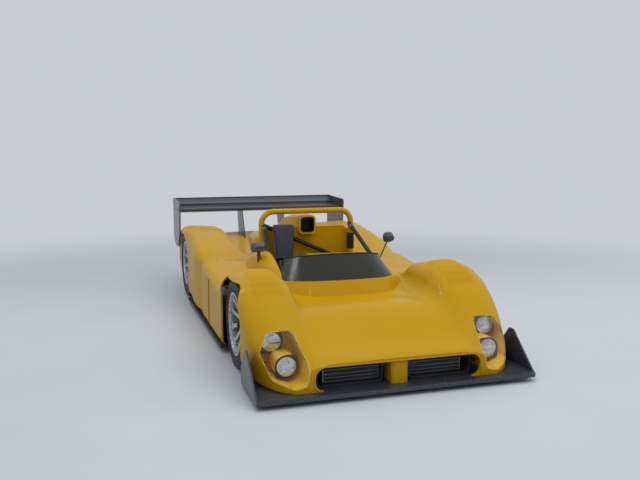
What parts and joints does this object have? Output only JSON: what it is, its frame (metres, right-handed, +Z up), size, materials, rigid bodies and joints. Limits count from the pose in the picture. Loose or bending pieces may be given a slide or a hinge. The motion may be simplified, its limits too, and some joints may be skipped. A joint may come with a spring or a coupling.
{
  "type": "sports prototype race car",
  "caption": "Open two-seat sports prototype race car with covered wheels, nose splitter, roll hoop, intake and rear wing; wheels roll and the front pair steers.",
  "frame": {"origin": "on the ground, at the middle of the overall length and width", "axes": "+Z up, the nose towards -Y, the car's left side towards +X"},
  "size_m": [1.98, 4.56, 1.0449],
  "materials": {
    "body_yellow": "gloss yellow paint on moulded composite",
    "carbon_black": "clear-coated black carbon laminate",
    "matt_black": "matt black laminate",
    "smoked_screen": "smoked polycarbonate",
    "lamp_cover": "clear polycarbonate, slightly browned",
    "lamp_glass": "aluminised reflector under glass",
    "red_lens": "red lamp lens",
    "tyre_rubber": "smooth racing tyre",
    "rim_silver": "silver painted magnesium rim",
    "steel_tube": "dull steel",
    "black_tube": "black painted steel tube",
    "cast_alloy": "cast light alloy",
    "duct_grey": "grey laminate duct",
    "pad_cloth": "grey-blue covered foam",
    "exhaust_metal": "heat-tinted steel tube",
    "grip_suede": "suede grip"
  },
  "bodies": {
    "chassis": {"front_splitter": "carbon_black", "floor_tray": "matt_black", "front_clip": "body_yellow", "nose_ducts": "duct_grey", "lamp_housings": "body_yellow", "headlamps": "lamp_glass", "headlamp_covers": "lamp_cover", "monocoque": "matt_black", "cockpit_surround": "body_yellow", "side_pods": "body_yellow", "tail_clip": "body_yellow", "engine_cover": "body_yellow", "intake_scoop": "body_yellow", "windscreen": "smoked_screen", "tonneau": "body_yellow", "mirrors": "carbon_black", "roll_hoop": "body_yellow", "roll_braces": "black_tube", "seat": "matt_black", "headrest": "pad_cloth", "dashboard": "matt_black", "pedals": "steel_tube", "engine_block": "cast_alloy", "gearbox": "cast_alloy", "exhausts": "exhaust_metal", "wing_main": "carbon_black", "wing_flap": "carbon_black", "wing_endplates": "carbon_black", "wing_pylons": "carbon_black", "diffuser": "matt_black", "tail_lamps": "red_lens", "front_wishbones": "steel_tube", "rear_suspension": "steel_tube"},
    "front_left_knuckle": {"front_left_upright": "cast_alloy"},
    "front_right_knuckle": {"front_right_upright": "cast_alloy"},
    "front_left_wheel": {"front_left_tyre": "tyre_rubber", "front_left_rim": "rim_silver"},
    "front_right_wheel": {"front_right_tyre": "tyre_rubber", "front_right_rim": "rim_silver"},
    "rear_left_wheel": {"rear_left_tyre": "tyre_rubber", "rear_left_rim": "rim_silver", "rear_left_driveshaft": "steel_tube"},
    "rear_right_wheel": {"rear_right_tyre": "tyre_rubber", "rear_right_rim": "rim_silver", "rear_right_driveshaft": "steel_tube"},
    "rack": {"steering_rack": "steel_tube"},
    "steering": {"steering_wheel": "grip_suede"}
  },
  "joints": [
    {"name": "steer_right", "type": "hinge", "parent": "chassis", "child": "front_right_knuckle", "pos_m": [-0.742, -1.327, 0.325], "axis": [0, 0, 1], "range_deg": [-15, 15]},
    {"name": "steer_left", "type": "hinge", "parent": "chassis", "child": "front_left_knuckle", "pos_m": [0.742, -1.327, 0.325], "axis": [0, 0, 1], "range_deg": [-15, 15]},
    {"name": "rack_slide", "type": "slide", "parent": "chassis", "child": "rack", "axis": [1, 0, 0], "range_m": [-0.028, 0.028]},
    {"name": "steering_wheel_turn", "type": "hinge", "parent": "chassis", "child": "steering", "pos_m": [-0.24, -1.027, 0.395], "axis": [0, 0.9622, 0.2723], "range_deg": [-150, 150]},
    {"name": "front_left_wheel_spin", "type": "hinge", "parent": "front_left_knuckle", "child": "front_left_wheel", "pos_m": [0.793, -1.327, 0.325], "axis": [1, 0, 0], "continuous": true},
    {"name": "front_right_wheel_spin", "type": "hinge", "parent": "front_right_knuckle", "child": "front_right_wheel", "pos_m": [-0.793, -1.327, 0.325], "axis": [1, 0, 0], "continuous": true},
    {"name": "rear_left_wheel_spin", "type": "hinge", "parent": "chassis", "child": "rear_left_wheel", "pos_m": [0.773, 1.413, 0.355], "axis": [1, 0, 0], "continuous": true},
    {"name": "rear_right_wheel_spin", "type": "hinge", "parent": "chassis", "child": "rear_right_wheel", "pos_m": [-0.773, 1.413, 0.355], "axis": [1, 0, 0], "continuous": true}
  ],
  "couplings": [
    {"joint": "steer_left", "follows": "steer_right", "ratio": 1},
    {"joint": "rack_slide", "follows": "steer_right", "m_per_rad": 0.105},
    {"joint": "steering_wheel_turn", "follows": "steer_right", "ratio": 10}
  ]
}
